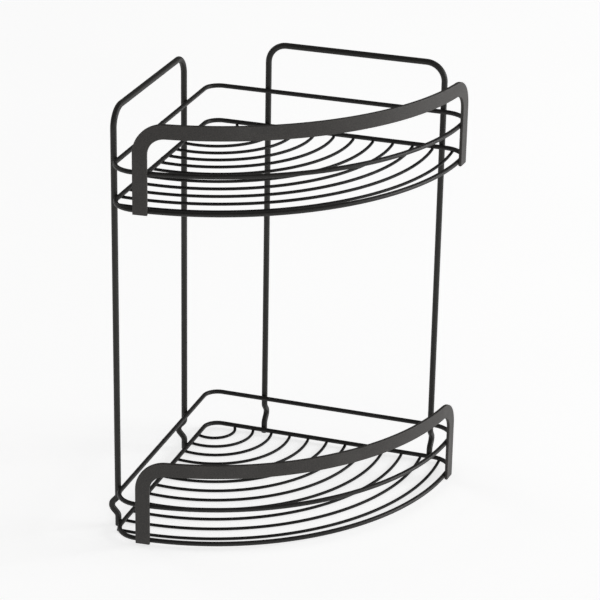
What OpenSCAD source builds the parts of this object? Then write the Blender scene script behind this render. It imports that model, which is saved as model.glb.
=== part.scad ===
// Two-tier corner shower caddy, welded from coated steel wire and flat bar.
//
// Each shelf is a pair of closed wire rings, a floor of arc-shaped wires welded under the lower ring,
// and a flat-bar front band. Two wire frames, one along each wall, carry both shelves.
// The front faces -Y and the room corner is at +Y, so each wall runs at 45 degrees to the X axis.
// The origin is on the surface that the caddy stands on, under the middle of its plan outline.

/* [Overall] */
// Straight side of a shelf, from the room corner to its sharp front corner, at the ring wire's centre
side_length = 195; // [150:0.5:240]
// How far the curved front stands ahead of the straight line between the two front corners
front_bulge = 61.5; // [45:0.5:75]
// Height from the lower shelf to the upper shelf
tier_spacing = 245; // [180:0.5:320]

/* [Shelf rings] */
// Diameter of the ring wire over its coating
ring_wire = 3.3; // [2.5:0.1:4.5]
// Height from a shelf's base ring to its rail ring, centre to centre
rail_rise = 26.5; // [22:0.5:32]
// Bend radius of the ring at the room corner, at the wire's centre
back_corner_radius = 11; // [6:0.5:16]
// Bend radius of the ring at each front corner, at the wire's centre
front_corner_radius = 17; // [10:0.5:25]

/* [Shelf floor] */
// Diameter of the floor wire over its coating
floor_wire = 2.2; // [1.6:0.1:3]
// Number of floor wires on each shelf
floor_wires = 12; // [8:1:13]
// Distance along the side from the room corner to the end of the first floor wire
first_wire_side = 21.2; // [18:0.1:26]
// Distance from the room corner to the middle of the first floor wire
first_wire_middle = 25.6; // [24:0.1:30]
// Distance along the side from the end of the last floor wire to the sharp front corner
last_wire_setback = 11.5; // [9:0.1:20]
// Distance from the middle of the last floor wire to the middle of the ring's curved front
last_wire_gap = 12.4; // [9:0.1:20]
// How far a floor wire's end runs past the centre of the ring wire above it
floor_wire_overhang = 1; // [0.5:0.1:1.2]

/* [Wall frames] */
// Diameter of the frame wire over its coating
frame_wire = 4.4; // [3.5:0.1:5.5]
// Distance along the side from the room corner to the rear leg
rear_leg_from_corner = 43.8; // [30:0.1:60]
// Distance along the side from the front leg to the sharp front corner
front_leg_setback = 20; // [18:0.1:40]
// Height from the upper rail ring to the frame's top bar, centre to centre
top_bar_rise = 34.3; // [20:0.1:60]
// Bend radius of the frame's top corners, at the wire's centre
frame_corner_radius = 13.5; // [8:0.5:20]
// Chamfer at the cut end of each leg
leg_chamfer = 0.4; // [0.2:0.1:0.8]

/* [Leg kinks] */
// How far the kink stands out from the leg towards the wall
kink_depth = 4.7; // [3.5:0.1:6]
// Height of the kink's point above the lower base ring
kink_height = 12.2; // [11:0.1:14]
// Slope of the kink's two flanks away from the leg
kink_angle = 42; // [38:1:50]
// Bend radius of the kink, at the wire's centre
kink_radius = 4.5; // [3:0.1:5]

/* [Front bands] */
// Width of the flat bar over its coating
band_width = 10.2; // [8:0.1:13]
// Thickness of the flat bar over its coating
band_thick = 2.2; // [1.5:0.1:3]
// Height from the rail ring's centre to the band's top edge
band_rise = 35.8; // [30:0.1:50]
// Inside radius of the band's edgewise bends
band_bend_radius = 12; // [5:0.1:18]
// Gap along the curve from the band leg's outer edge to the start of the ring's front corner
band_leg_setback = 1; // [0.5:0.1:6]
// How far the band's legs reach below the base ring's centre
band_leg_drop = 2.1; // [1.8:0.1:3]

/* [Welds and bends] */
// How deep two welded wires sink into each other
weld_sink = 0.3; // [0.2:0.05:0.4]
// How much a bend draws the wire's radius in
bend_draw = 0.02; // [0.01:0.01:0.04]

/* [Hidden] */
wire_faces = 32;
curve_faces = 240;
// How far a bend's thinner wire runs inside the full wire that it joins.
bend_lap = 0.1;

// Rings: the curved front is an arc whose centre lies on the line that halves the corner.
ring_r = ring_wire / 2;
front_chord = side_length * sqrt(2);
front_radius = (front_chord * front_chord / 8 + front_bulge * front_bulge / 2) / front_bulge;
front_middle = front_chord / 2 + front_bulge;
front_centre = (front_middle - front_radius) / sqrt(2);
// Front corner: an arc that touches the side and the curved front.
corner_reach = sqrt(pow(front_radius - front_corner_radius, 2)
    - pow(front_corner_radius - front_centre, 2));
corner_x = front_centre + corner_reach;
corner_angle = atan2(front_corner_radius - front_centre, corner_reach);

// Levels, from the standing surface up.
floor_z = floor_wire / 2;
lower_base_z = floor_wire + ring_r - weld_sink;
lower_rail_z = lower_base_z + rail_rise;
upper_base_z = lower_base_z + tier_spacing;
upper_rail_z = upper_base_z + rail_rise;
frame_top_z = upper_rail_z + top_bar_rise;

// Wall frames: welded to the outside of the rings.
frame_r = frame_wire / 2;
frame_offset = ring_r + frame_r - weld_sink;
front_leg_x = side_length - front_leg_setback;
kink_flank = (kink_depth - 2 * kink_radius * (1 - cos(kink_angle))) / sin(kink_angle);
kink_half = 2 * kink_radius * sin(kink_angle) + kink_flank * cos(kink_angle);
kink_z = lower_base_z + kink_height;

// Front bands: welded to the outside of the rings' curved front.
band_outer_radius = front_radius + ring_r + band_thick - weld_sink;
band_inner_radius = band_outer_radius - band_thick;
band_bend_outer = band_bend_radius + band_width;
band_height = band_leg_drop + rail_rise + band_rise;
// Angle from the side to the band leg's outer edge, and from there to the centre of its bend.
band_edge_angle = corner_angle + asin(band_leg_setback / band_outer_radius);
band_bend_angle = band_edge_angle + asin(band_bend_outer / band_outer_radius);

// Plan outline, along the line that halves the corner: the band in front, and at the back the ring's
// corner or the rear legs, whichever is nearer the walls' corner.
plan_front = front_middle + ring_r + band_thick - weld_sink;
ring_back = (sqrt(2) - 1) * back_corner_radius - ring_r;
leg_back = (rear_leg_from_corner - frame_offset - kink_depth) / sqrt(2) - frame_r;
plan_back = min(ring_back, leg_back);
corner_y = (plan_front + plan_back) / 2;

function two_digits(n) = n < 10 ? str("0", n) : str(n);
function floor_wire_name(tier, n) = str(tier, "_floor_wire_", two_digits(n));

// Room-corner frame: the left wall's side runs along +X and the right wall's side along +Y.
module from_corner(z) {
    translate([0, corner_y, z])
        rotate([0, 0, 225])
            children();
}

module mirrored_side() {
    mirror([1, -1, 0])
        children();
}

// Straight wire along +X, a long arc of wire about the Z axis, and a tight bend about the Z axis.
module straight_wire(length, d) {
    rotate([0, 90, 0])
        cylinder(h = length, d = d, $fn = wire_faces);
}

module arc_wire(radius, start, sweep, d) {
    rotate_extrude(angle = sweep, start = start, $fn = curve_faces)
        translate([radius, 0])
            circle(d = d, $fn = wire_faces);
}

module wire_bend(radius, start, sweep, d) {
    lap_angle = asin(bend_lap / radius);
    arc_wire(radius, start - lap_angle, sweep + 2 * lap_angle, d - 2 * bend_draw);
}

// Closed shelf ring.
module ring_side() {
    translate([back_corner_radius, 0, 0])
        straight_wire(corner_x - back_corner_radius, ring_wire);
    translate([corner_x, front_corner_radius, 0])
        wire_bend(front_corner_radius, -90, 90 + corner_angle, ring_wire);
}

module shelf_ring(z) {
    from_corner(z) {
        ring_side();
        mirrored_side()
            ring_side();
        translate([back_corner_radius, back_corner_radius, 0])
            wire_bend(back_corner_radius, 180, 90, ring_wire);
        translate([front_centre, front_centre, 0])
            arc_wire(front_radius, corner_angle, 90 - 2 * corner_angle, ring_wire);
    }
}

module lower_base_ring() {
    color("#2b2a29")
        shelf_ring(lower_base_z);
}

module lower_rail_ring() {
    color("#2b2a29")
        shelf_ring(lower_rail_z);
}

module upper_base_ring() {
    color("#2b2a29")
        shelf_ring(upper_base_z);
}

module upper_rail_ring() {
    color("#2b2a29")
        shelf_ring(upper_rail_z);
}

// Floor wire n: an arc whose two ends step evenly along the sides, and whose middle steps evenly
// along the line that halves the corner.
module floor_arc(n, base_z) {
    share = (n - 1) / (floor_wires - 1);
    side = first_wire_side + share * (side_length - last_wire_setback - first_wire_side);
    middle = first_wire_middle + share * (front_middle - last_wire_gap - first_wire_middle);
    centre = (middle * middle - side * side) / (2 * (sqrt(2) * middle - side));
    radius = middle - sqrt(2) * centre;
    end_angle = asin((centre + floor_wire_overhang) / radius);
    color("#232221")
        from_corner(base_z - lower_base_z + floor_z)
            translate([centre, centre, 0])
                arc_wire(radius, -end_angle, 90 + 2 * end_angle, floor_wire);
}

// Wall frame, drawn for the left wall: an upside-down U whose legs lie outside the rings.
// Flank and end bend above the kink's point, in the leg's own plane: X runs out towards the wall
// and Y runs up.
module kink_upper_half() {
    translate([kink_depth - kink_radius * (1 - cos(kink_angle)), kink_radius * sin(kink_angle), 0])
        rotate([0, 0, 90 + kink_angle])
            straight_wire(kink_flank, frame_wire);
    translate([kink_radius, kink_half, 0])
        wire_bend(kink_radius, 180, kink_angle, frame_wire);
}

module leg_kink() {
    rotate([90, 0, -90]) {
        translate([kink_depth - kink_radius, 0, 0])
            wire_bend(kink_radius, -kink_angle, 2 * kink_angle, frame_wire);
        kink_upper_half();
        mirror([0, 1, 0])
            kink_upper_half();
    }
}

module frame_leg() {
    foot_length = kink_z - kink_half - leg_chamfer;
    riser_length = frame_top_z - frame_corner_radius - kink_z - kink_half;
    cylinder(h = leg_chamfer, d1 = frame_wire - 2 * leg_chamfer, d2 = frame_wire, $fn = wire_faces);
    translate([0, 0, leg_chamfer])
        cylinder(h = foot_length, d = frame_wire, $fn = wire_faces);
    translate([0, 0, kink_z])
        leg_kink();
    translate([0, 0, kink_z + kink_half])
        cylinder(h = riser_length, d = frame_wire, $fn = wire_faces);
}

module frame_corner(start) {
    rotate([90, 0, 0])
        wire_bend(frame_corner_radius, start, 90, frame_wire);
}

module wall_frame() {
    bar_start = rear_leg_from_corner + frame_corner_radius;
    bar_end = front_leg_x - frame_corner_radius;
    corner_z = frame_top_z - frame_corner_radius;
    from_corner(0)
        translate([0, -frame_offset, 0]) {
            for (x = [rear_leg_from_corner, front_leg_x])
                translate([x, 0, 0])
                    frame_leg();
            translate([bar_start, 0, corner_z])
                frame_corner(90);
            translate([bar_end, 0, corner_z])
                frame_corner(0);
            translate([bar_start, 0, frame_top_z])
                straight_wire(bar_end - bar_start, frame_wire);
        }
}

module left_wall_frame() {
    color("#2f2e2c")
        wall_frame();
}

module right_wall_frame() {
    color("#2f2e2c")
        mirror([1, 0, 0])
            wall_frame();
}

// Front band: flat bar that follows the curved front, with an edgewise bend into a leg at each end.
// One half of it, seen square on from outside: X runs from the bend's centre towards the leg's side,
// and Y is zero at the band's top edge.
module band_half_outline() {
    translate([0, -band_bend_outer])
        intersection() {
            difference() {
                circle(r = band_bend_outer, $fn = 96);
                circle(r = band_bend_radius, $fn = 96);
            }
            square(2 * band_bend_outer);
        }
    translate([band_bend_radius, -band_height])
        square([band_width, band_height - band_bend_outer]);
    translate([-band_outer_radius, -band_width])
        square([band_outer_radius, band_width]);
}

// The outline's block, square to the curve at the bend, runs out from the curve's centre. A curved
// shell, from before the leg to the middle of the front, takes the half band out of it.
module band_half() {
    intersection() {
        rotate([0, 0, band_bend_angle])
            rotate([90, 0, 90])
                mirror([1, 0, 0])
                    linear_extrude(band_outer_radius + band_thick)
                        band_half_outline();
        rotate_extrude(angle = 45, $fn = curve_faces)
            translate([band_inner_radius, -band_height - band_thick])
                square([band_thick, band_height + 2 * band_thick]);
    }
}

module front_band(base_z) {
    from_corner(base_z + rail_rise + band_rise)
        translate([front_centre, front_centre, 0]) {
            band_half();
            mirrored_side()
                band_half();
        }
}

module lower_front_band() {
    color("#3a3735")
        front_band(lower_base_z);
}

module upper_front_band() {
    color("#3a3735")
        front_band(upper_base_z);
}

lower_base_ring();
lower_rail_ring();
upper_base_ring();
upper_rail_ring();
left_wall_frame();
right_wall_frame();
lower_front_band();
upper_front_band();
for (n = [1 : floor_wires]) {
    floor_arc(n, lower_base_z);
    floor_arc(n, upper_base_z);
}
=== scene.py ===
import math

import bmesh
import bpy
from mathutils import Matrix, Vector


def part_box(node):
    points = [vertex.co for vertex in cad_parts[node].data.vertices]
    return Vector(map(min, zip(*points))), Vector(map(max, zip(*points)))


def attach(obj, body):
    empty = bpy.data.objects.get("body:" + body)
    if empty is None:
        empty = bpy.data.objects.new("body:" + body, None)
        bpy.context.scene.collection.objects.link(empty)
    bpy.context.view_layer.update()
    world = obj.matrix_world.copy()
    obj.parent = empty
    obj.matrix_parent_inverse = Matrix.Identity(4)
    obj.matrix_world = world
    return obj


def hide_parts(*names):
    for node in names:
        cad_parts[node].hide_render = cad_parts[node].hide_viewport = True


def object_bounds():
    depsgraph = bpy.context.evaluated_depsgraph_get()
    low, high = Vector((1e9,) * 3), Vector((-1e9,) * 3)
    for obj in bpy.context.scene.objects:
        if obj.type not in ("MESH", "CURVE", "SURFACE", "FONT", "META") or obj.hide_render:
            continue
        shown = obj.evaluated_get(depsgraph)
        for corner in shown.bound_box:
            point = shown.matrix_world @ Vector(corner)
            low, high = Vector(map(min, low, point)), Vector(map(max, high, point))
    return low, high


# Two-tier corner shower caddy in coated steel wire and flat bar. Lengths are in metres.
# The front faces -Y, the room corner is at +Y, and each wall runs at 45 degrees to the X axis.
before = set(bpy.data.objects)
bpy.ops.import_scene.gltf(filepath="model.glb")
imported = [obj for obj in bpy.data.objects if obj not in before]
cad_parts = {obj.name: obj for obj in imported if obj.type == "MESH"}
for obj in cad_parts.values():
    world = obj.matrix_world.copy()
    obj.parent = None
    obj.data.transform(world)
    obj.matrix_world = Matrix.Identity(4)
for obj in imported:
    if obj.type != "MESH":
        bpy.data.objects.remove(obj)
cad_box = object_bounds()

TIERS = ("lower", "upper")
BODY = "root"
UP = Vector((0, 0, 1))


# ---------------------------------------------------------------- camera and lights

CAMERA_PLACE = Vector((-0.7206, -1.4599, 0.8278))
CAMERA_TURN = math.radians(-27.03)
CAMERA_TILT = math.radians(-22.77)
CAMERA_ROLL = math.radians(1.05)
LENS_MM = 148.4
FARTHEST_VIEW = 60


def make_camera():
    camera = bpy.data.objects.new("camera", bpy.data.cameras.new("camera"))
    camera.data.lens = LENS_MM
    camera.data.clip_end = FARTHEST_VIEW
    level = Matrix.Rotation(math.radians(90) + CAMERA_TILT, 4, "X")
    turn = Matrix.Rotation(CAMERA_TURN, 4, "Z")
    roll = Matrix.Rotation(CAMERA_ROLL, 4, "Z")
    camera.matrix_world = Matrix.Translation(CAMERA_PLACE) @ turn @ level @ roll
    bpy.context.scene.collection.objects.link(camera)
    bpy.context.scene.camera = camera


def soft_light(name, place, size, watts):
    """A square softbox at place, turned towards the middle of the caddy."""
    light = bpy.data.objects.new(name, bpy.data.lights.new(name, "AREA"))
    light.data.shape = "SQUARE"
    light.data.size = size
    light.data.energy = watts
    light.location = place
    middle = (cad_box[0] + cad_box[1]) / 2
    light.rotation_euler = (middle - Vector(place)).to_track_quat("-Z", "Y").to_euler()
    bpy.context.scene.collection.objects.link(light)


def make_lights():
    soft_light("front_softbox", place=(-1.4, -5.6, 1.7), size=3.0, watts=45)
    soft_light("side_softbox", place=(5.2, -2.2, 1.5), size=2.8, watts=220)
    soft_light("back_softbox", place=(-2.6, 5.2, 3.4), size=3.6, watts=45)


# ---------------------------------------------------------------- materials

# Scale of each pattern in the powder coat, per metre, from the coarsest to the finest.
RUBBED_SCALE = 24
MOTTLE_SCALE = 55
ORANGE_PEEL_SCALE = 420
GRAIN_SCALE = 1300
FLECK_SCALE = 3600

# Painted shade and painted light: the coat's colour is darkened in the grain's hollows and brightened on
# its tops, as shares of its colour. The same two tones also give its faint random mottling.
PAINTED_SHADE_AND_MOTTLE_TONE = 0.50
PAINTED_LIGHT_AND_MOTTLE_TONE = 1.50
COAT_BUMP = 0.7


class Signal:
    """A number that varies over a surface. Python's operators on it add Math nodes."""

    def __init__(self, tree, socket):
        self.tree = tree
        self.socket = socket

    def math(self, operation, first, second):
        node = self.tree.add("ShaderNodeMath", {"operation": operation}, {0: first, 1: second})
        return self.tree.out(node)

    def __add__(self, other):
        return self.math("ADD", self, other)

    def __mul__(self, other):
        return self.math("MULTIPLY", self, other)

    def __sub__(self, other):
        return self.math("SUBTRACT", self, other)

    def __rsub__(self, other):
        return self.math("SUBTRACT", other, self)

    __radd__ = __add__
    __rmul__ = __mul__


class NodeTree:
    """The nodes of one material or of the world."""

    def __init__(self, owner):
        owner.use_nodes = True
        self.nodes = owner.node_tree.nodes
        self.links = owner.node_tree.links
        self.nodes.clear()

    def add(self, kind, settings, inputs):
        """Adds a node: its settings first, then the value or link of each socket."""
        node = self.nodes.new(kind)
        for name, value in settings.items():
            if name == "stops":
                self.set_stops(node.color_ramp, value)
            else:
                setattr(node, name, value)
        for name, value in inputs.items():
            source = value.socket if isinstance(value, Signal) else value
            if isinstance(source, bpy.types.NodeSocket):
                self.links.new(source, node.inputs[name])
            else:
                node.inputs[name].default_value = source
        return node

    def set_stops(self, ramp, stops):
        while len(ramp.elements) < len(stops):
            ramp.elements.new(1)
        for element, (position, colour) in zip(ramp.elements, stops):
            element.position = position
            element.color = colour

    def out(self, node, name=0):
        return Signal(self, node.outputs[name])


def grey(level):
    return (level, level, level, 1)


def toned(colour, share):
    """A colour made darker or brighter, with the alpha that a socket needs."""
    return tuple(share * channel for channel in colour) + (1,)


def noise(tree, place, scale, detail, roughness=0.5):
    sockets = {"Vector": place, "Scale": scale, "Detail": detail, "Roughness": roughness}
    return tree.out(tree.add("ShaderNodeTexNoise", {}, sockets), "Fac")


def ramp(tree, value, low, high):
    """Turns a value into 0 below low, 1 above high and an even slope between the two."""
    settings = {"stops": [(low, grey(0)), (high, grey(1))]}
    return tree.out(tree.add("ShaderNodeValToRGB", settings, {"Fac": value}))


def mix_colour(tree, share, first, second):
    settings = {"data_type": "RGBA"}
    node = tree.add("ShaderNodeMix", settings, {"Factor": share, 6: first, 7: second})
    return tree.out(node, 2)


def powder_coat(name, colour, glint, roughness, gloss, relief):
    """Satin anthracite powder coat: a fine sandy grain, with painted shade in its hollows and painted
    light on its tops, faint mottling and paler rubbed patches.
    glint is the colour of its flecks, gloss its specular level and relief the height of its grain."""
    material = bpy.data.materials.new(name)
    tree = NodeTree(material)
    place = tree.out(tree.add("ShaderNodeTexCoord", {}, {}), "Object")
    grain = ramp(tree, noise(tree, place, GRAIN_SCALE, detail=2, roughness=0.55), 0.38, 0.62)
    orange_peel = noise(tree, place, ORANGE_PEEL_SCALE, detail=2)
    mottle = noise(tree, place, MOTTLE_SCALE, detail=3)
    flecks = ramp(tree, noise(tree, place, FLECK_SCALE, detail=1), 0.58, 0.76)
    rubbed = ramp(tree, noise(tree, place, RUBBED_SCALE, detail=4, roughness=0.65), 0.52, 0.70)
    # Painted shade in the grain's hollows and painted light on its tops, in the same two tones as the
    # faint random mottling.
    painted_shade_and_mottle = toned(colour, PAINTED_SHADE_AND_MOTTLE_TONE)
    top = toned(colour, PAINTED_LIGHT_AND_MOTTLE_TONE)
    # The grain that lifts the bump below also paints its hollows darker and its tops lighter: painted
    # shade and painted light, mixed with the random mottling.
    base = mix_colour(tree, grain * 0.7 + mottle * 0.3, painted_shade_and_mottle, top)
    base = mix_colour(tree, flecks * 0.40 + rubbed * 0.15, base, toned(glint, 1))
    height = grain * 0.7 + orange_peel * 0.5
    bump = tree.add(
        "ShaderNodeBump", {}, {"Strength": COAT_BUMP, "Distance": relief, "Height": height}
    )
    surface = tree.add(
        "ShaderNodeBsdfPrincipled",
        {},
        {
            "Base Color": base,
            "Roughness": mottle * 0.10 + grain * 0.10 - rubbed * 0.06 + (roughness - 0.10),
            "Normal": tree.out(bump),
            "Specular IOR Level": gloss,
            "Metallic": 0.0,
        },
    )
    tree.add("ShaderNodeOutputMaterial", {}, {"Surface": tree.out(surface)})
    return material


def make_coats():
    """The coat of each kind of piece, under the name of its material slot."""
    return {
        "ring_wire": powder_coat(
            "ring_coat", colour=(0.011, 0.0102, 0.0092), glint=(0.045, 0.042, 0.038),
            roughness=0.48, gloss=0.36, relief=0.00004,
        ),
        "frame_wire": powder_coat(
            "frame_coat", colour=(0.013, 0.0125, 0.0105), glint=(0.048, 0.046, 0.040),
            roughness=0.50, gloss=0.36, relief=0.00005,
        ),
        "floor_wire": powder_coat(
            "floor_coat", colour=(0.007, 0.0066, 0.0062), glint=(0.030, 0.028, 0.026),
            roughness=0.54, gloss=0.22, relief=0.00003,
        ),
        "front_band": powder_coat(
            "band_coat", colour=(0.0272, 0.0243, 0.0218), glint=(0.080, 0.075, 0.070),
            roughness=0.54, gloss=0.45, relief=0.00006,
        ),
    }


# ---------------------------------------------------------------- floor and world

FLOOR_HALF_WIDTH = 12
FLOOR_GAP = 0.00005
FLOOR_GLOW = 0.70
FLOOR_UNEVENNESS_SCALE = 3
SKY_LEVEL = 0.10
SKY_OVERHEAD = 0.24
SKY_TOP_STOP = 0.9


def floor_material():
    """Pale and slightly uneven, with a faint glow that keeps the shadows on it light."""
    material = bpy.data.materials.new("pale_floor")
    tree = NodeTree(material)
    place = tree.out(tree.add("ShaderNodeTexCoord", {}, {}), "Object")
    unevenness = noise(tree, place, FLOOR_UNEVENNESS_SCALE, detail=2)
    surface = tree.add(
        "ShaderNodeBsdfPrincipled",
        {},
        {
            "Base Color": mix_colour(tree, unevenness, grey(0.60), (0.64, 0.64, 0.635, 1)),
            "Roughness": 0.7,
            "Emission Color": grey(1),
            "Emission Strength": FLOOR_GLOW,
        },
    )
    tree.add("ShaderNodeOutputMaterial", {}, {"Surface": tree.out(surface)})
    return material


def make_floor():
    """A wide plain floor, a hair below the feet."""
    mesh = bmesh.new()
    bmesh.ops.create_grid(mesh, x_segments=1, y_segments=1, size=FLOOR_HALF_WIDTH)
    bmesh.ops.translate(mesh, verts=mesh.verts, vec=(0, 0, cad_box[0].z - FLOOR_GAP))
    floor = new_object("floor", mesh, floor_material())


def make_world():
    """White to the camera. Everything else is lit by a dim sky, brighter overhead."""
    world = bpy.data.worlds.new("studio")
    bpy.context.scene.world = world
    tree = NodeTree(world)
    direction = tree.out(tree.add("ShaderNodeTexCoord", {}, {}), "Generated")
    height = tree.out(tree.add("ShaderNodeSeparateXYZ", {}, {"Vector": direction}), "Z")
    sky_settings = {"stops": [(0.0, grey(SKY_LEVEL)), (SKY_TOP_STOP, grey(SKY_OVERHEAD))]}
    sky = tree.out(tree.add("ShaderNodeValToRGB", sky_settings, {"Fac": height}))
    seen = tree.out(tree.add("ShaderNodeLightPath", {}, {}), "Is Camera Ray")
    colour = mix_colour(tree, seen, sky, grey(1))
    light = tree.add("ShaderNodeBackground", {}, {"Color": colour, "Strength": 1.0})
    tree.add("ShaderNodeOutputWorld", {}, {"Surface": tree.out(light)})


# ---------------------------------------------------------------- sizes


def span_z(node):
    low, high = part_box(node)
    return low.z, high.z


def middle_z(node):
    return sum(span_z(node)) / 2


# Wires. A level piece of wire is as high in the frame as it is thick.
RING_WIRE = span_z("lower_base_ring")[1] - span_z("lower_base_ring")[0]
FLOOR_WIRE = span_z("lower_floor_wire_01")[1] - span_z("lower_floor_wire_01")[0]
FRAME_WIRE = 0.0044
RING_RADIUS = RING_WIRE / 2
FLOOR_RADIUS = FLOOR_WIRE / 2
FRAME_RADIUS = FRAME_WIRE / 2
WELD_SINK = 0.0003

# Plan, in the room corner's own axes: one axis along each wall.
SIDE_LENGTH = 0.195
FRONT_BULGE = 0.0615
BACK_CORNER_RADIUS = 0.011
FRONT_CORNER_RADIUS = 0.017
FRONT_CHORD = SIDE_LENGTH * math.sqrt(2)
FRONT_RADIUS = (FRONT_CHORD**2 / 8 + FRONT_BULGE**2 / 2) / FRONT_BULGE
FRONT_MIDDLE = FRONT_CHORD / 2 + FRONT_BULGE
FRONT_CENTRE = (FRONT_MIDDLE - FRONT_RADIUS) / math.sqrt(2)
CORNER_RISE = FRONT_CORNER_RADIUS - FRONT_CENTRE
CORNER_REACH = math.sqrt((FRONT_RADIUS - FRONT_CORNER_RADIUS) ** 2 - CORNER_RISE**2)
CORNER_X = FRONT_CENTRE + CORNER_REACH
CORNER_ANGLE = math.atan2(CORNER_RISE, CORNER_REACH)

# Shelf floor.
FLOOR_WIRES = 12
FIRST_WIRE_SIDE = 0.0212
FIRST_WIRE_MIDDLE = 0.0256
LAST_WIRE_SETBACK = 0.0115
LAST_WIRE_GAP = 0.0124
FLOOR_WIRE_OVERHANG = 0.001

# Wall frames.
REAR_LEG = 0.0438
FRONT_LEG = SIDE_LENGTH - 0.020
FRAME_OFFSET = RING_RADIUS + FRAME_RADIUS - WELD_SINK
FRAME_CORNER_RADIUS = 0.0135
FRAME_TOP_Z = span_z("left_wall_frame")[1] - FRAME_RADIUS
KINK_DEPTH = 0.0047
KINK_ANGLE = math.radians(42)
KINK_RADIUS = 0.0045
KINK_FLANK = (KINK_DEPTH - 2 * KINK_RADIUS * (1 - math.cos(KINK_ANGLE))) / math.sin(KINK_ANGLE)
KINK_HALF = 2 * KINK_RADIUS * math.sin(KINK_ANGLE) + KINK_FLANK * math.cos(KINK_ANGLE)
KINK_Z = middle_z("lower_base_ring") + 0.0122

# Front bands. The angles are in plan, about the curved front's centre.
BAND_WIDTH = 0.0102
BAND_THICK = 0.0022
BAND_BEND_RADIUS = 0.012
BAND_LEG_SETBACK = 0.001
BAND_BEND_MIDDLE = BAND_BEND_RADIUS + BAND_WIDTH / 2
BAND_BEND_OUTER = BAND_BEND_RADIUS + BAND_WIDTH
BAND_OUTER_RADIUS = FRONT_RADIUS + RING_RADIUS + BAND_THICK - WELD_SINK
BAND_MIDDLE_RADIUS = BAND_OUTER_RADIUS - BAND_THICK / 2
BAND_EDGE_ANGLE = CORNER_ANGLE + math.asin(BAND_LEG_SETBACK / BAND_OUTER_RADIUS)
BAND_BEND_ANGLE = BAND_EDGE_ANGLE + math.asin(BAND_BEND_OUTER / BAND_OUTER_RADIUS)
BAND_HALF_ANGLE = math.radians(45) - BAND_BEND_ANGLE
BAND_LEG_ANGLE = BAND_HALF_ANGLE + BAND_BEND_MIDDLE / BAND_MIDDLE_RADIUS

# The band is the caddy's foremost piece, so the frame gives the place of the curved front's centre,
# and from there that of the room corner.
FRONT_CENTRE_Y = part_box("lower_front_band")[0].y + BAND_OUTER_RADIUS
CORNER_Y = FRONT_CENTRE_Y + FRONT_CENTRE * math.sqrt(2)

# Finish: sides of a wire's section, and the rounding of cut ends and of the bar's edges.
WIRE_SIDES = 28
CUT_ROUNDING = 0.00035
CUT_SEGMENTS = 4
EDGE_ROUNDING = 0.0004
EDGE_SEGMENTS = 6

# How finely bends and straight runs are divided.
TIGHT_STEP = math.radians(5)
LONG_STEP = math.radians(1.25)
SHORTEST_FEED = 0.0015
RING_SIDE_STEPS = 16
BUTT_WELD_STEPS = 4
RISER_STEPS = 12
TOP_BAR_STEPS = 6
BAND_LEG_STEPS = 4
BAND_RUN_STEPS = 96
MERGE_DISTANCE = 1e-5


# ---------------------------------------------------------------- meshes and pieces


def new_object(name, mesh, material):
    data = bpy.data.meshes.new(name)
    mesh.to_mesh(data)
    mesh.free()
    data.materials.append(material)
    made = bpy.data.objects.new(name, data)
    bpy.context.scene.collection.objects.link(made)
    return made


def add_piece(name, mesh, slot, replaced=()):
    """Turns a finished mesh into a piece of the caddy. Only the flat cut ends are left unsmoothed."""
    bmesh.ops.recalc_face_normals(mesh, faces=mesh.faces)
    for face in mesh.faces:
        face.smooth = len(face.verts) <= 4
    piece = new_object(name, mesh, coats[slot])
    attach(piece, BODY)
    if replaced:
        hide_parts(*replaced)


def wire_section(wire, filled):
    """A round section of wire, square to Z. A closed ring's section isn't filled."""
    mesh = bmesh.new()
    bmesh.ops.create_circle(mesh, cap_ends=filled, segments=WIRE_SIDES, radius=wire / 2)
    return mesh


def bar_section(width, thick):
    """A flat bar's section, its width along X, with rounded edges. Each flat gets a point just inside
    its two ends, so that the faces swept from it shade flat."""
    mesh = bmesh.new()
    bmesh.ops.create_grid(mesh, x_segments=1, y_segments=1, size=0.5)
    bmesh.ops.scale(mesh, verts=mesh.verts, vec=(width, thick, 1))
    bmesh.ops.bevel(
        mesh, geom=mesh.verts[:], offset=EDGE_ROUNDING, offset_type="OFFSET",
        affect="VERTICES", segments=EDGE_SEGMENTS, profile=0.5, material=-1,
    )
    for flat in [e for e in mesh.edges if e.calc_length() > EDGE_ROUNDING]:
        for vert in flat.verts[:]:
            bmesh.utils.edge_split(flat, vert, EDGE_ROUNDING / 2 / flat.calc_length())
    return mesh


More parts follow.
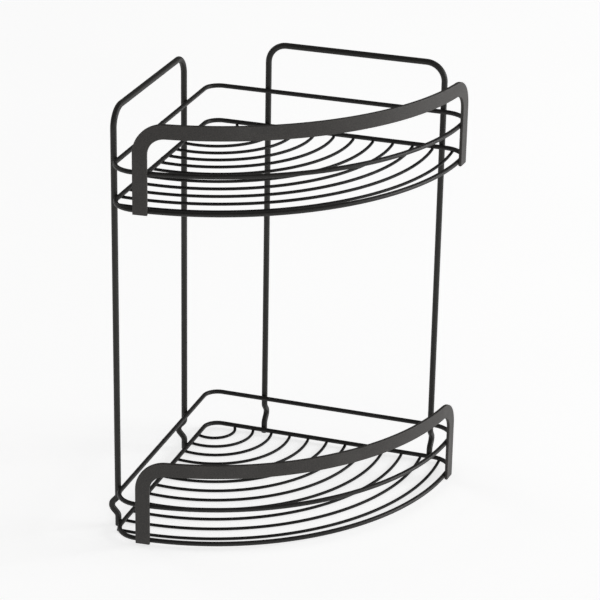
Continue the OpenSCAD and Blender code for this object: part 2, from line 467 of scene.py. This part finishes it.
class Former:
    """Forms a bar as a bending machine does: its section is fed straight or swung round a bend."""

    def __init__(self, section, place, heading):
        self.mesh = section
        self.place = place
        self.heading = heading
        turn = heading.to_track_quat("Z", "Y").to_matrix().to_4x4()
        bmesh.ops.transform(section, verts=section.verts, matrix=Matrix.Translation(place) @ turn)
        self.start_rim = section.edges[:]
        self.end = section.verts[:] + section.edges[:]

    def feed(self, length, steps=1):
        """Feeds the bar straight ahead."""
        for _ in range(steps):
            edges = [e for e in self.end if isinstance(e, bmesh.types.BMEdge)]
            made = bmesh.ops.extrude_edge_only(self.mesh, edges=edges)["geom"]
            verts = [v for v in made if isinstance(v, bmesh.types.BMVert)]
            step = self.heading * (length / steps)
            bmesh.ops.translate(self.mesh, verts=verts, vec=step)
            self.place = self.place + step
            rim = set(verts)
            edges = [
                e for e in made
                if isinstance(e, bmesh.types.BMEdge) and rim.issuperset(e.verts)
            ]
            self.end = verts + edges

    def bend(self, radius, angle, towards, step=TIGHT_STEP):
        """Bends by angle on a radius, towards a direction that is square to the heading."""
        centre = self.place + towards * radius
        axis = self.heading.cross(towards)
        steps = max(2, math.ceil(angle / step))
        made = bmesh.ops.spin(
            self.mesh, geom=self.end, cent=centre, axis=axis, angle=angle, steps=steps,
        )
        self.end = made["geom_last"]
        turn = Matrix.Rotation(angle, 3, axis)
        self.place = centre + turn @ (self.place - centre)
        self.heading = turn @ self.heading

    def cut_ends(self, rounding):
        """Fills the far end and rounds the rims of both cuts."""
        rim = [e for e in self.end if isinstance(e, bmesh.types.BMEdge)]
        bmesh.ops.contextual_create(self.mesh, geom=rim)
        bmesh.ops.bevel(
            self.mesh, geom=self.start_rim + rim, offset=rounding, offset_type="OFFSET",
            affect="EDGES", segments=CUT_SEGMENTS, profile=0.5, material=-1,
        )
        return self.mesh

    def close(self):
        """Joins the far end to the start."""
        bmesh.ops.remove_doubles(self.mesh, verts=self.mesh.verts, dist=MERGE_DISTANCE)
        return self.mesh


def corner_frame(z=0):
    """The room corner's axes: X along the left wall and Y along the right wall."""
    return Matrix.Translation((0, CORNER_Y, z)) @ Matrix.Rotation(math.radians(225), 4, "Z")


def place_in_corner(mesh, z=0):
    bmesh.ops.transform(mesh, verts=mesh.verts, matrix=corner_frame(z))


def mirror_to_right(mesh):
    bmesh.ops.scale(mesh, verts=mesh.verts, vec=(-1, 1, 1))


def left(heading):
    return UP.cross(heading)


# How far a ring's butt weld reaches each way along the wire, and how far it stands proud.
BUTT_WELD_REACH = 0.0016
BUTT_WELD_SWELL = 0.00013


def swell_butt_weld(mesh, joint):
    """Swells the wire's section smoothly round the joint on the side that runs along X."""
    for vert in mesh.verts:
        off = abs(vert.co.x - joint) / BUTT_WELD_REACH
        if off < 1 and abs(vert.co.y) < RING_WIRE:
            swell = 1 + BUTT_WELD_SWELL / RING_RADIUS * (1 - off * off) ** 2
            vert.co.y *= swell
            vert.co.z *= swell


def make_ring(name):
    """Closed ring, butt-welded halfway along the left wall."""
    joint = (BACK_CORNER_RADIUS + CORNER_X) / 2
    half_side = CORNER_X - joint - BUTT_WELD_REACH
    former = Former(wire_section(RING_WIRE, False), Vector((joint, 0, 0)), Vector((1, 0, 0)))
    former.feed(BUTT_WELD_REACH, BUTT_WELD_STEPS)
    former.feed(half_side, RING_SIDE_STEPS // 2)
    former.bend(FRONT_CORNER_RADIUS, math.radians(90) + CORNER_ANGLE, left(former.heading))
    former.bend(FRONT_RADIUS, math.radians(90) - 2 * CORNER_ANGLE, left(former.heading), LONG_STEP)
    former.bend(FRONT_CORNER_RADIUS, math.radians(90) + CORNER_ANGLE, left(former.heading))
    former.feed(CORNER_X - BACK_CORNER_RADIUS, RING_SIDE_STEPS)
    former.bend(BACK_CORNER_RADIUS, math.radians(90), left(former.heading))
    former.feed(half_side, RING_SIDE_STEPS // 2)
    former.feed(BUTT_WELD_REACH, BUTT_WELD_STEPS)
    mesh = former.close()
    swell_butt_weld(mesh, joint)
    place_in_corner(mesh, middle_z(name))
    add_piece(f"{name}_wire", mesh, "ring_wire", [name])


def floor_arc(n):
    """Centre along both walls, radius and end angle of floor wire n."""
    share = (n - 1) / (FLOOR_WIRES - 1)
    side = FIRST_WIRE_SIDE + share * (SIDE_LENGTH - LAST_WIRE_SETBACK - FIRST_WIRE_SIDE)
    middle = FIRST_WIRE_MIDDLE + share * (FRONT_MIDDLE - LAST_WIRE_GAP - FIRST_WIRE_MIDDLE)
    centre = (middle**2 - side**2) / (2 * (math.sqrt(2) * middle - side))
    radius = middle - math.sqrt(2) * centre
    return centre, radius, math.asin((centre + FLOOR_WIRE_OVERHANG) / radius)


def make_floor_wire(tier, n):
    """One arc of the shelf floor, from just past one side of the base ring to just past the other."""
    name = f"{tier}_floor_wire_{n:02d}"
    centre, radius, end_angle = floor_arc(n)
    start = Vector((math.cos(end_angle), -math.sin(end_angle), 0))
    place = Vector((centre, centre, 0)) + radius * start
    former = Former(wire_section(FLOOR_WIRE, True), place, left(start))
    step = max(LONG_STEP, SHORTEST_FEED / radius)
    former.bend(radius, math.radians(90) + 2 * end_angle, left(former.heading), step)
    mesh = former.cut_ends(CUT_ROUNDING)
    place_in_corner(mesh, middle_z(name))
    add_piece(f"{name}_rod", mesh, "floor_wire", [name])


def square_to(heading, direction):
    """The direction that is square to the heading and nearest to the given one."""
    return heading.cross(direction.cross(heading)).normalized()


def form_kink(former, outwards):
    """Swings the wire outwards to the kink's point and back into line."""
    former.bend(KINK_RADIUS, KINK_ANGLE, outwards)
    former.feed(KINK_FLANK)
    former.bend(KINK_RADIUS, 2 * KINK_ANGLE, -square_to(former.heading, outwards))
    former.feed(KINK_FLANK)
    former.bend(KINK_RADIUS, KINK_ANGLE, square_to(former.heading, outwards))


def make_wall_frame(side):
    """Upside-down U of wire with a kink low on each leg, drawn for the left wall."""
    name = f"{side}_wall_frame"
    wall = Vector((0, -1, 0))
    along = Vector((1, 0, 0))
    foot = KINK_Z - KINK_HALF
    riser = FRAME_TOP_Z - FRAME_CORNER_RADIUS - KINK_Z - KINK_HALF
    former = Former(wire_section(FRAME_WIRE, True), Vector((REAR_LEG, -FRAME_OFFSET, 0)), UP)
    former.feed(foot)
    form_kink(former, wall)
    former.feed(riser, RISER_STEPS)
    former.bend(FRAME_CORNER_RADIUS, math.radians(90), along)
    former.feed(FRONT_LEG - REAR_LEG - 2 * FRAME_CORNER_RADIUS, TOP_BAR_STEPS)
    former.bend(FRAME_CORNER_RADIUS, math.radians(90), -UP)
    former.feed(riser, RISER_STEPS)
    form_kink(former, wall)
    former.feed(foot)
    mesh = former.cut_ends(CUT_ROUNDING)
    place_in_corner(mesh)
    if side == "right":
        mirror_to_right(mesh)
    add_piece(f"{name}_wire", mesh, "frame_wire", [name])


def make_front_band(tier):
    """Flat bar formed flat with its two edgewise bends, then rolled to the shelf's curved front."""
    name = f"{tier}_front_band"
    low, high = span_z(name)
    run = 2 * BAND_MIDDLE_RADIUS * BAND_HALF_ANGLE
    leg = high - low - BAND_BEND_OUTER
    across = Vector((1, 0, 0))
    leg_x = -run / 2 - BAND_BEND_MIDDLE
    former = Former(bar_section(BAND_WIDTH, BAND_THICK), Vector((leg_x, 0, low)), UP)
    former.feed(leg, BAND_LEG_STEPS)
    former.bend(BAND_BEND_MIDDLE, math.radians(90), across)
    former.feed(run, BAND_RUN_STEPS)
    former.bend(BAND_BEND_MIDDLE, math.radians(90), -UP)
    former.feed(leg, BAND_LEG_STEPS)
    mesh = former.cut_ends(CUT_ROUNDING)
    for vert in mesh.verts:
        turn = vert.co.x / BAND_MIDDLE_RADIUS
        radius = BAND_MIDDLE_RADIUS - vert.co.y
        vert.co.x = radius * math.sin(turn)
        vert.co.y = FRONT_CENTRE_Y - radius * math.cos(turn)
    add_piece(f"{name}_bar", mesh, "front_band", [name])


# ---------------------------------------------------------------- welds

WELD_SEGMENTS = 24
WELD_RISE = 0.0005
WELD_THINNEST = WELD_RISE / 3
POLE_MERGE = 1e-4

# Share of a wire's radius within which a weld follows the wire's round surface.
WIRE_CROWN = 0.98

# Rows of a weld's flank, from its pole in the lower piece to its pole in the upper one, as (share of
# its reach, height as a share of the gap between the two pieces).
WELD_ROWS = (
    (0, -0.9), (0.55, -0.7), (1.0, 0), (0.90, 0.2), (0.86, 0.5),
    (0.90, 0.8), (1.0, 1), (0.55, 1.7), (0, 1.9),
)


def sagitta(radius, off):
    """How far a round wire's surface falls away at a distance off its axis. A flat bar has no radius."""
    if radius is None:
        return 0
    off = min(abs(off), WIRE_CROWN * radius)
    return radius - math.sqrt(radius**2 - off**2)


def weld_reach(radius, depth, limit):
    """How far from a wire's axis its surface has fallen away by depth."""
    if radius is None:
        return limit
    return min(limit, math.sqrt(2 * radius * depth - depth**2))


def weld_blank():
    """A weld of unit reach and unit height, closed at both poles."""
    mesh = bmesh.new()
    points = [mesh.verts.new((reach, 0, height)) for reach, height in WELD_ROWS]
    edges = [mesh.edges.new(pair) for pair in zip(points, points[1:])]
    bmesh.ops.spin(
        mesh, geom=points + edges, cent=(0, 0, 0), axis=(0, 0, 1),
        angle=math.tau, steps=WELD_SEGMENTS, use_merge=True,
    )
    bmesh.ops.remove_doubles(mesh, verts=mesh.verts, dist=POLE_MERGE)
    return mesh


def add_weld(mesh, place, normal, lower, upper, limit=math.inf, stop=math.inf):
    """A fillet round the spot where two pieces cross. lower and upper are each (direction, radius), and
    normal points from the lower piece to the upper. limit is the longest reach, and stop how far it may
    run along the upper piece."""
    made = weld_blank()
    # X runs along the upper piece, and each piece's section is taken across its own direction.
    along, upper_radius = upper
    lower_along, lower_radius = lower
    across = normal.cross(along)
    lower_axis = Vector((lower_along.dot(along), lower_along.dot(across)))
    depth = WELD_SINK + WELD_RISE
    reach_along = weld_reach(lower_radius, depth, limit)
    reach_across = weld_reach(upper_radius, depth, limit)
    for vert in made.verts:
        x = min(vert.co.x * reach_along, stop)
        y = vert.co.y * reach_across
        share = vert.co.z
        off_lower = lower_axis.x * y - lower_axis.y * x
        top = sagitta(upper_radius, y) - WELD_SINK / 2
        bottom = WELD_SINK / 2 - sagitta(lower_radius, off_lower)
        gap = max(top - bottom, WELD_THINNEST)
        height = (top + bottom) / 2 + (share - 0.5) * gap
        vert.co = place + along * x + across * y + normal * height
    bmesh.ops.recalc_face_normals(made, faces=made.faces)
    data = bpy.data.meshes.new("weld")
    made.to_mesh(data)
    made.free()
    mesh.from_mesh(data)
    bpy.data.meshes.remove(data)


def make_frame_welds(side):
    """The welds of a wall frame's two legs to the four rings, drawn for the left wall."""
    mesh = bmesh.new()
    wall = Vector((0, -1, 0))
    contact = RING_RADIUS - WELD_SINK / 2
    for tier in TIERS:
        for level in ("base", "rail"):
            z = middle_z(f"{tier}_{level}_ring")
            for x in (REAR_LEG, FRONT_LEG):
                ring = (Vector((1, 0, 0)), RING_RADIUS)
                leg = (UP, FRAME_RADIUS)
                add_weld(mesh, Vector((x, -contact, z)), wall, ring, leg)
    place_in_corner(mesh)
    if side == "right":
        mirror_to_right(mesh)
    add_piece(f"{side}_frame_welds", mesh, "frame_wire")


def make_floor_welds(tier):
    """The welds of the floor wires' ends to the base ring's two sides."""
    mesh = bmesh.new()
    z = span_z(f"{tier}_base_ring")[0] + WELD_SINK / 2
    stop = FLOOR_WIRE_OVERHANG - CUT_ROUNDING
    for n in range(1, FLOOR_WIRES + 1):
        centre, radius, _ = floor_arc(n)
        angle = math.asin(centre / radius)
        place = Vector((centre + radius * math.cos(angle), 0, z))
        outwards = Vector((-math.sin(angle), -math.cos(angle), 0))
        ring = (Vector((1, 0, 0)), RING_RADIUS)
        add_weld(mesh, place, -UP, ring, (outwards, FLOOR_RADIUS), stop=stop)
        # The same weld on the other side, with the two walls' axes exchanged.
        place = Vector((0, place.x, z))
        outwards = Vector((outwards.y, outwards.x, 0))
        ring = (Vector((0, 1, 0)), RING_RADIUS)
        add_weld(mesh, place, -UP, ring, (outwards, FLOOR_RADIUS), stop=stop)
    place_in_corner(mesh)
    add_piece(f"{tier}_floor_welds", mesh, "floor_wire")


def make_band_welds(tier):
    """The welds of a band's two legs to the curved front of the base and rail rings."""
    mesh = bmesh.new()
    contact = FRONT_RADIUS + RING_RADIUS - WELD_SINK / 2
    for level in ("base", "rail"):
        z = middle_z(f"{tier}_{level}_ring")
        for turn in (-BAND_LEG_ANGLE, BAND_LEG_ANGLE):
            outwards = Vector((math.sin(turn), -math.cos(turn), 0))
            place = Vector((0, FRONT_CENTRE_Y, z)) + outwards * contact
            ring = (UP.cross(outwards), RING_RADIUS)
            leg = (UP, None)
            add_weld(mesh, place, outwards, ring, leg, limit=BAND_WIDTH / 2 - EDGE_ROUNDING)
    add_piece(f"{tier}_band_welds", mesh, "front_band")


# ---------------------------------------------------------------- the caddy

make_camera()
coats = make_coats()
make_floor()
make_world()
make_lights()
bpy.context.scene.view_settings.view_transform = "Standard"

for tier in TIERS:
    make_ring(f"{tier}_base_ring")
    make_ring(f"{tier}_rail_ring")
    for number in range(1, FLOOR_WIRES + 1):
        make_floor_wire(tier, number)
    make_front_band(tier)
    make_floor_welds(tier)
    make_band_welds(tier)
for side in ("left", "right"):
    make_wall_frame(side)
    make_frame_welds(side)
